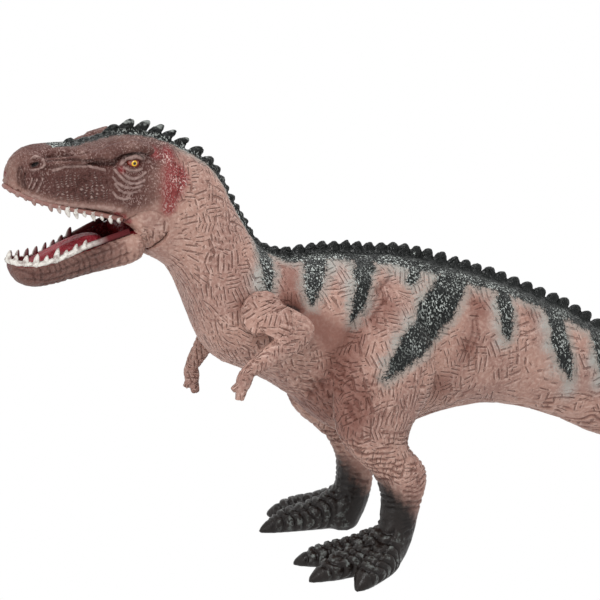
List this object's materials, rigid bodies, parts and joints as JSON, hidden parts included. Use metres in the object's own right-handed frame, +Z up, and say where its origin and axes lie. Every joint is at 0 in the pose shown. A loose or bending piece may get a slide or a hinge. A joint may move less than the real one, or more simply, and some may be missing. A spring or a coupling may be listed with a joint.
{
  "type": "toy dinosaur figure",
  "caption": "Standing two-legged meat-eating dinosaur toy of soft vinyl with a hinged lower jaw, tooth rows, crest spikes, short swivelling arms and a long tail.",
  "frame": {"origin": "on the ground below the middle of the bounding box", "axes": "+Z up, the snout points to -X, the figure's left side to -Y"},
  "size_m": [0.4233, 0.1179, 0.2144],
  "materials": {
    "skin": "satin soft vinyl, sprayed in brown, black-green and grey",
    "mouth_red": "glossy red paint",
    "tooth_white": "satin white paint",
    "eye_amber": "glossy",
    "pin_steel": "plain",
    "fibre_white": "loose fibre"
  },
  "bodies": {
    "figure": {"trunk": "skin", "head": "skin", "tail": "skin", "leg_left": "skin", "leg_right": "skin", "palate": "mouth_red", "upper_teeth": "tooth_white", "eye_left": "eye_amber", "eye_right": "eye_amber", "jaw_pin": "pin_steel", "stuffing": "fibre_white"},
    "jaw": {"lower_jaw": "skin", "lower_teeth": "tooth_white", "tongue": "mouth_red"},
    "left_arm": {"arm_left": "skin"},
    "right_arm": {"arm_right": "skin"}
  },
  "joints": [
    {"name": "jaw_hinge", "type": "hinge", "parent": "figure", "child": "jaw", "pos_m": [-0.154, -0.006, 0.168], "axis": [0, 1, 0], "range_deg": [-3, 18]},
    {"name": "left_shoulder", "type": "hinge", "parent": "figure", "child": "left_arm", "pos_m": [-0.10405, -0.0308, 0.128], "axis": [0, 1, 0], "range_deg": [-40, 40]},
    {"name": "right_shoulder", "type": "hinge", "parent": "figure", "child": "right_arm", "pos_m": [-0.10405, 0.0188, 0.128], "axis": [0, 1, 0], "range_deg": [-40, 40]}
  ]
}
